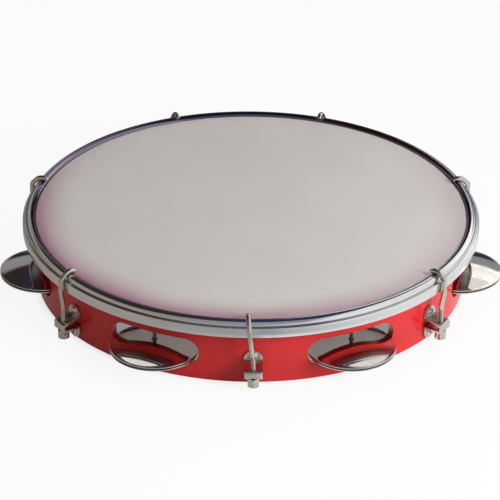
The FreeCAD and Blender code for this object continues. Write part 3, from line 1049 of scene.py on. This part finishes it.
class MakePins(bpy.types.Operator):
    """Makes the pins that the jingles hang on"""

    bl_idname = "pandeiro.make_pins"
    bl_label = "Make the pins"

    def execute(self, context):
        settings = context.scene.pandeiro_jingle
        chamfer = settings.pin / 4
        profile = [
            (settings.pin - chamfer, settings.pin_bottom),
            (settings.pin, settings.pin_bottom + chamfer),
            (settings.pin, settings.pin_top - chamfer),
            (settings.pin - chamfer, settings.pin_top),
        ]
        piece = softened(turned("pin", profile, 32), 0.08 * MM, 1, 30)
        moved(piece, Matrix.Translation((settings.pin_circle, 0, 0)))
        finish = plated_metal("steel_pins", settings.worn, 0.28, 0.4)
        angles = jingle_angles(context)
        repeated(piece, "slot_pin", angles, finish, None, "pin_steel", "jingle_pin")
        return {"FINISHED"}


class MakeJingles(bpy.types.Operator):
    """Makes the shallow domed jingles, the upper ones dome up and the lower ones dome down"""

    bl_idname = "pandeiro.make_jingles"
    bl_label = "Make the jingles"

    def execute(self, context):
        settings = context.scene.pandeiro_jingle
        sheet, edge = settings.sheet, settings.sheet / 2
        foot, rise = settings.radius - settings.rim, settings.height - sheet
        outer = (foot**2 + rise**2) / (2 * rise)
        centre = settings.height - outer
        inner_foot = math.sqrt((outer - sheet)**2 - centre**2)

        def on_dome(dome, first, last, steps):
            radii = [first + (last - first) * step / steps for step in range(steps + 1)]
            return [(r, centre + math.sqrt(dome**2 - r**2)) for r in radii]

        profile = [
            *on_dome(outer, settings.hole, foot, 16),
            *arc((settings.radius - edge, edge), edge, 90, -90, 6),
            *on_dome(outer - sheet, inner_foot, settings.hole, 16),
        ]
        piece = softened(turned("jingle", profile, 128, closed=True), 0.1 * MM, 2, 30)
        note_ring(piece)
        nickel = settings.nickel
        finish = plated_metal("nickel_jingles", nickel, 0.06, 0.13, wave=0.03 * MM, turned=True)
        up = Matrix.Translation((settings.pin_circle, 0, settings.upper_level))
        down = Matrix.Translation((settings.pin_circle, 0, settings.lower_level + settings.height))
        upper = twin(piece, "upper", up)
        lower = moved(piece, down @ Matrix.Rotation(math.pi, 4, "X"))
        angles = jingle_angles(context)
        for kind, disc, body in (
            ("upper", upper, "upper_jingle_body"),
            ("lower", lower, "lower_jingle_set"),
        ):
            name, replaced = f"jingle_{kind}", f"{kind}_jingle"
            repeated(disc, name, angles, finish, body, "jingle_nickel", replaced)
        return {"FINISHED"}


class MakeDampers(bpy.types.Operator):
    """Makes the flat discs between the jingles"""

    bl_idname = "pandeiro.make_dampers"
    bl_label = "Make the flat discs"

    def execute(self, context):
        settings = context.scene.pandeiro_jingle
        low = settings.damper_level
        high = low + settings.damper_sheet
        profile = [
            (settings.hole, low),
            (settings.damper_radius, low),
            (settings.damper_radius, high),
            (settings.hole, high),
        ]
        piece = softened(turned("damper", profile, 128, closed=True), 0.12 * MM)
        note_ring(piece)
        moved(piece, Matrix.Translation((settings.pin_circle, 0, 0)))
        finish = plated_metal("steel_discs", settings.steel, 0.2, 0.32, turned=True)
        repeated(
            piece, "jingle_damper", jingle_angles(context), finish, "lower_jingle_set",
            "damper_steel", "damper_disc",
        )
        return {"FINISHED"}


def direction(azimuth, elevation):
    """The unit step towards an azimuth about the drum, at an elevation."""
    level = math.cos(elevation)
    return Vector((level * math.cos(azimuth), level * math.sin(azimuth), math.sin(elevation)))


class SetStage(bpy.types.Operator):
    """Sets the floor, the light and the camera"""

    bl_idname = "pandeiro.set_stage"
    bl_label = "Set the stage"

    def execute(self, context):
        settings = context.scene.pandeiro_stage
        context.scene.view_settings.view_transform = "Standard"
        self.set_world(context, settings)
        self.lay_floor(settings)
        self.hang_lights(context, settings)
        self.stand_card(settings)
        self.place_camera(context, settings)
        return {"FINISHED"}

    def seen(self, tree):
        """Whether the camera sees a point, and whether bright metal or clear stuff does."""
        path = node(tree, "ShaderNodeLightPath").outputs
        bright = sum_of(tree, "MAXIMUM", path["Is Glossy Ray"], path["Is Transmission Ray"])
        return path["Is Camera Ray"], bright

    def emptied(self, owner):
        """The node tree of a new material or world, with nothing in it."""
        owner.use_nodes = True
        owner.node_tree.nodes.clear()
        return owner.node_tree

    def set_world(self, context, settings):
        """A world of plain light, white to the camera and a room to bright metal."""
        world = bpy.data.worlds.new("studio")
        context.scene.world = world
        tree = self.emptied(world)
        camera, bright = self.seen(tree)
        way = sides_of(tree, node(tree, "ShaderNodeTexCoord").outputs["Generated"])
        from_left = span(tree, way["X"], -0.7, -0.1)
        walls = blended(tree, from_left, settings.left_room, settings.room)
        low, far = span(tree, way["Z"], 0.2, 0.12), span(tree, way["Y"], 0.5, 0.65)
        walls = blended(tree, sum_of(tree, "MULTIPLY", low, far), walls, settings.card)
        beyond, high = span(tree, way["Y"], -0.55, -0.4), span(tree, way["Z"], 0.46, 0.53)
        overhead = blended(tree, span(tree, way["X"], -0.3, 0.0), settings.card, settings.ceiling)
        reflected = blended(tree, sum_of(tree, "MULTIPLY", beyond, high), walls, overhead)
        reflected = blended(tree, span(tree, way["X"], 0.42, 0.6), reflected, WHITE)
        plain, mirrored, white = (
            node(tree, "ShaderNodeBackground", {"Color": shown, "Strength": strength}).outputs[0]
            for shown, strength in (
                ((*WHITE, 1), settings.ambient),
                (reflected, 1.0),
                ((*WHITE, 1), 1.0),
            )
        )
        lit = node(tree, "ShaderNodeMixShader", {0: bright, 1: plain, 2: mirrored}).outputs[0]
        surface = node(tree, "ShaderNodeMixShader", {0: camera, 1: lit, 2: white}).outputs[0]
        node(tree, "ShaderNodeOutputWorld", {"Surface": surface})

    def lay_floor(self, settings):
        """A pale floor that keeps the shadow; bright metal shows it with painted shade: darker to
        the left, grey close in front, white to the right, card-dark behind.
        """
        start()
        bpy.ops.mesh.primitive_plane_add(size=30, location=(0, 0, CAD_BOX[0].z))
        floor = added("studio_floor")
        material = bpy.data.materials.new("pale_floor")
        tree = self.emptied(material)
        camera, bright = self.seen(tree)
        radius = distance_from_axis(tree)
        for_camera = span(tree, radius, 0.13, 0.15, 0.25, 0.9)
        for_metal = sum_of(tree, "MULTIPLY", bright, 0.85)
        share = sum_of(tree, "MULTIPLY_ADD", camera, for_camera, for_metal)
        # Painted shade for bright metal: the floor darker to the left, grey close in front, dark
        # behind
        place = sides_of(tree, place_on_piece(tree))
        from_left = span(tree, place["X"], -0.2, 0.0)
        dim = blended(tree, from_left, settings.left_room, settings.room)
        dim = blended(tree, span(tree, place["X"], 0.02, 0.18), dim, WHITE)
        near_floor_shade = blended(tree, span(tree, place["X"], 0.003, 0.015), settings.near_floor_shade, WHITE)
        near, front = span(tree, radius, 0.215, 0.195), span(tree, place["X"], -0.12, -0.02)
        dim = blended(tree, sum_of(tree, "MULTIPLY", near, front), dim, near_floor_shade)
        mirrored = blended(tree, span(tree, place["Y"], 0.08, 0.16), dim, settings.card)
        colour_seen = blended(tree, bright, WHITE, mirrored)
        matt = node(tree, "ShaderNodeBsdfDiffuse", {"Color": (*settings.floor, 1)}).outputs[0]
        glow = node(tree, "ShaderNodeEmission", {"Color": colour_seen, "Strength": 1.0}).outputs[0]
        mixed = node(tree, "ShaderNodeMixShader", {0: share, 1: matt, 2: glow}).outputs[0]
        node(tree, "ShaderNodeOutputMaterial", {"Surface": mixed})
        floor.data.materials.append(material)

    def hang_lights(self, context, settings):
        """A low key and a soft light above, which no mirror shows, and two whites high behind."""
        middle = (CAD_BOX[0] + CAD_BOX[1]) / 2
        away = settings.key_distance
        towards = direction(settings.key_azimuth, settings.key_elevation)
        for name, way, power in (
            ("right_key", towards, settings.key),
            ("overhead", Vector((0, 0, 1)), settings.overhead),
        ):
            lamp = self.hang(context, name, middle + away * way, -way, (away / 2, away / 2), power)
            lamp.visible_glossy = False
        behind, forwards = settings.panel_behind, Vector((0, -1, 0))
        width, height = settings.panel_width, settings.panel_height
        place = Vector((settings.panel_left + width / 2, behind, settings.panel_low + height / 2))
        self.hang(context, "white_panel", place, forwards, (width, height), settings.panel)
        width, height = settings.sheet_width, settings.sheet_height
        place = Vector((settings.sheet_middle, behind, settings.sheet_low + height / 2))
        as_white = math.pi * width * height
        sheet = self.hang(context, "jingle_sheen", place, forwards, (width, height), as_white)
        sheet.data.color = settings.sheet_tint
        lit = bpy.data.collections.new("sheen_jingles")
        for place in settings.sheet_jingles:
            lit.objects.link(bpy.data.objects[f"jingle_upper_{place}"])
        sheet.light_linking.receiver_collection = lit

    def hang(self, context, name, place, way, size, power):
        """A lamp of a size that faces a way; the camera doesn't see it."""
        data = bpy.data.lights.new(name, "AREA")
        data.shape, data.energy = "RECTANGLE", power
        data.size, data.size_y = size
        lamp = bpy.data.objects.new(name, data)
        context.scene.collection.objects.link(lamp)
        lamp.location = place
        lamp.rotation_euler = way.to_track_quat("-Z", "Y").to_euler()
        lamp.visible_camera = False
        return lamp

    def stand_card(self, settings):
        """A dark card close behind, which only bright metal shows."""
        card = upright_plate(
            "dark_card", settings.card_behind, settings.card_width, 0, settings.card_height
        )
        moved(card, about_axis(math.pi / 2))
        material = bpy.data.materials.new("dark_card")
        tree = self.emptied(material)
        glow = node(tree, "ShaderNodeEmission", {"Color": (*settings.card, 1), "Strength": 1.0})
        node(tree, "ShaderNodeOutputMaterial", {"Surface": glow.outputs[0]})
        card.data.materials.append(material)
        card.visible_camera = card.visible_diffuse = card.visible_shadow = False
        card.visible_transmission = False

    def place_camera(self, context, settings):
        data = bpy.data.cameras.new("camera")
        data.lens = settings.lens
        camera = bpy.data.objects.new("camera", data)
        context.scene.collection.objects.link(camera)
        context.scene.camera = camera
        away = direction(settings.azimuth, settings.elevation)
        level_right = Vector((-math.sin(settings.azimuth), math.cos(settings.azimuth), 0))
        level_up = away.cross(level_right)
        right = math.cos(settings.roll) * level_right + math.sin(settings.roll) * level_up
        up = math.cos(settings.roll) * level_up - math.sin(settings.roll) * level_right
        forward = -away - math.tan(settings.dip) * up - math.tan(settings.pan) * right
        forward.normalize()
        right = forward.cross(up).normalized()
        frame_of_view = Matrix((right, right.cross(forward), -forward)).transposed()
        camera.matrix_world = (
            Matrix.Translation(away * settings.distance + Vector((0, 0, settings.target)))
            @ frame_of_view.to_4x4()
        )


OPERATORS = (
    DressShell,
    MakeHead,
    MakeHoop,
    MakeHooks,
    MakeNuts,
    MakeBrackets,
    MakeScrews,
    MakePins,
    MakeJingles,
    MakeDampers,
    SetStage,
)


class PandeiroPanel(bpy.types.Panel):
    """Lists the drum's pieces, to make them one by one"""

    bl_idname = "VIEW3D_PT_pandeiro"
    bl_label = "Pandeiro"
    bl_space_type = "VIEW_3D"
    bl_region_type = "UI"
    bl_category = "Pandeiro"

    def draw(self, context):
        for operator in OPERATORS:
            self.layout.operator(operator.bl_idname)


def register():
    for group in GROUPS.values():
        bpy.utils.register_class(group)
    for name, group in GROUPS.items():
        setattr(bpy.types.Scene, name, PointerProperty(type=group))
    for kind in (*OPERATORS, PandeiroPanel):
        bpy.utils.register_class(kind)


def unregister():
    for kind in (PandeiroPanel, *reversed(OPERATORS)):
        bpy.utils.unregister_class(kind)
    for name, group in GROUPS.items():
        delattr(bpy.types.Scene, name)
        bpy.utils.unregister_class(group)


def main():
    register()
    for operator in OPERATORS:
        action = operator.bl_idname.removeprefix("pandeiro.")
        getattr(bpy.ops.pandeiro, action)()


if __name__ == "__main__":
    main()
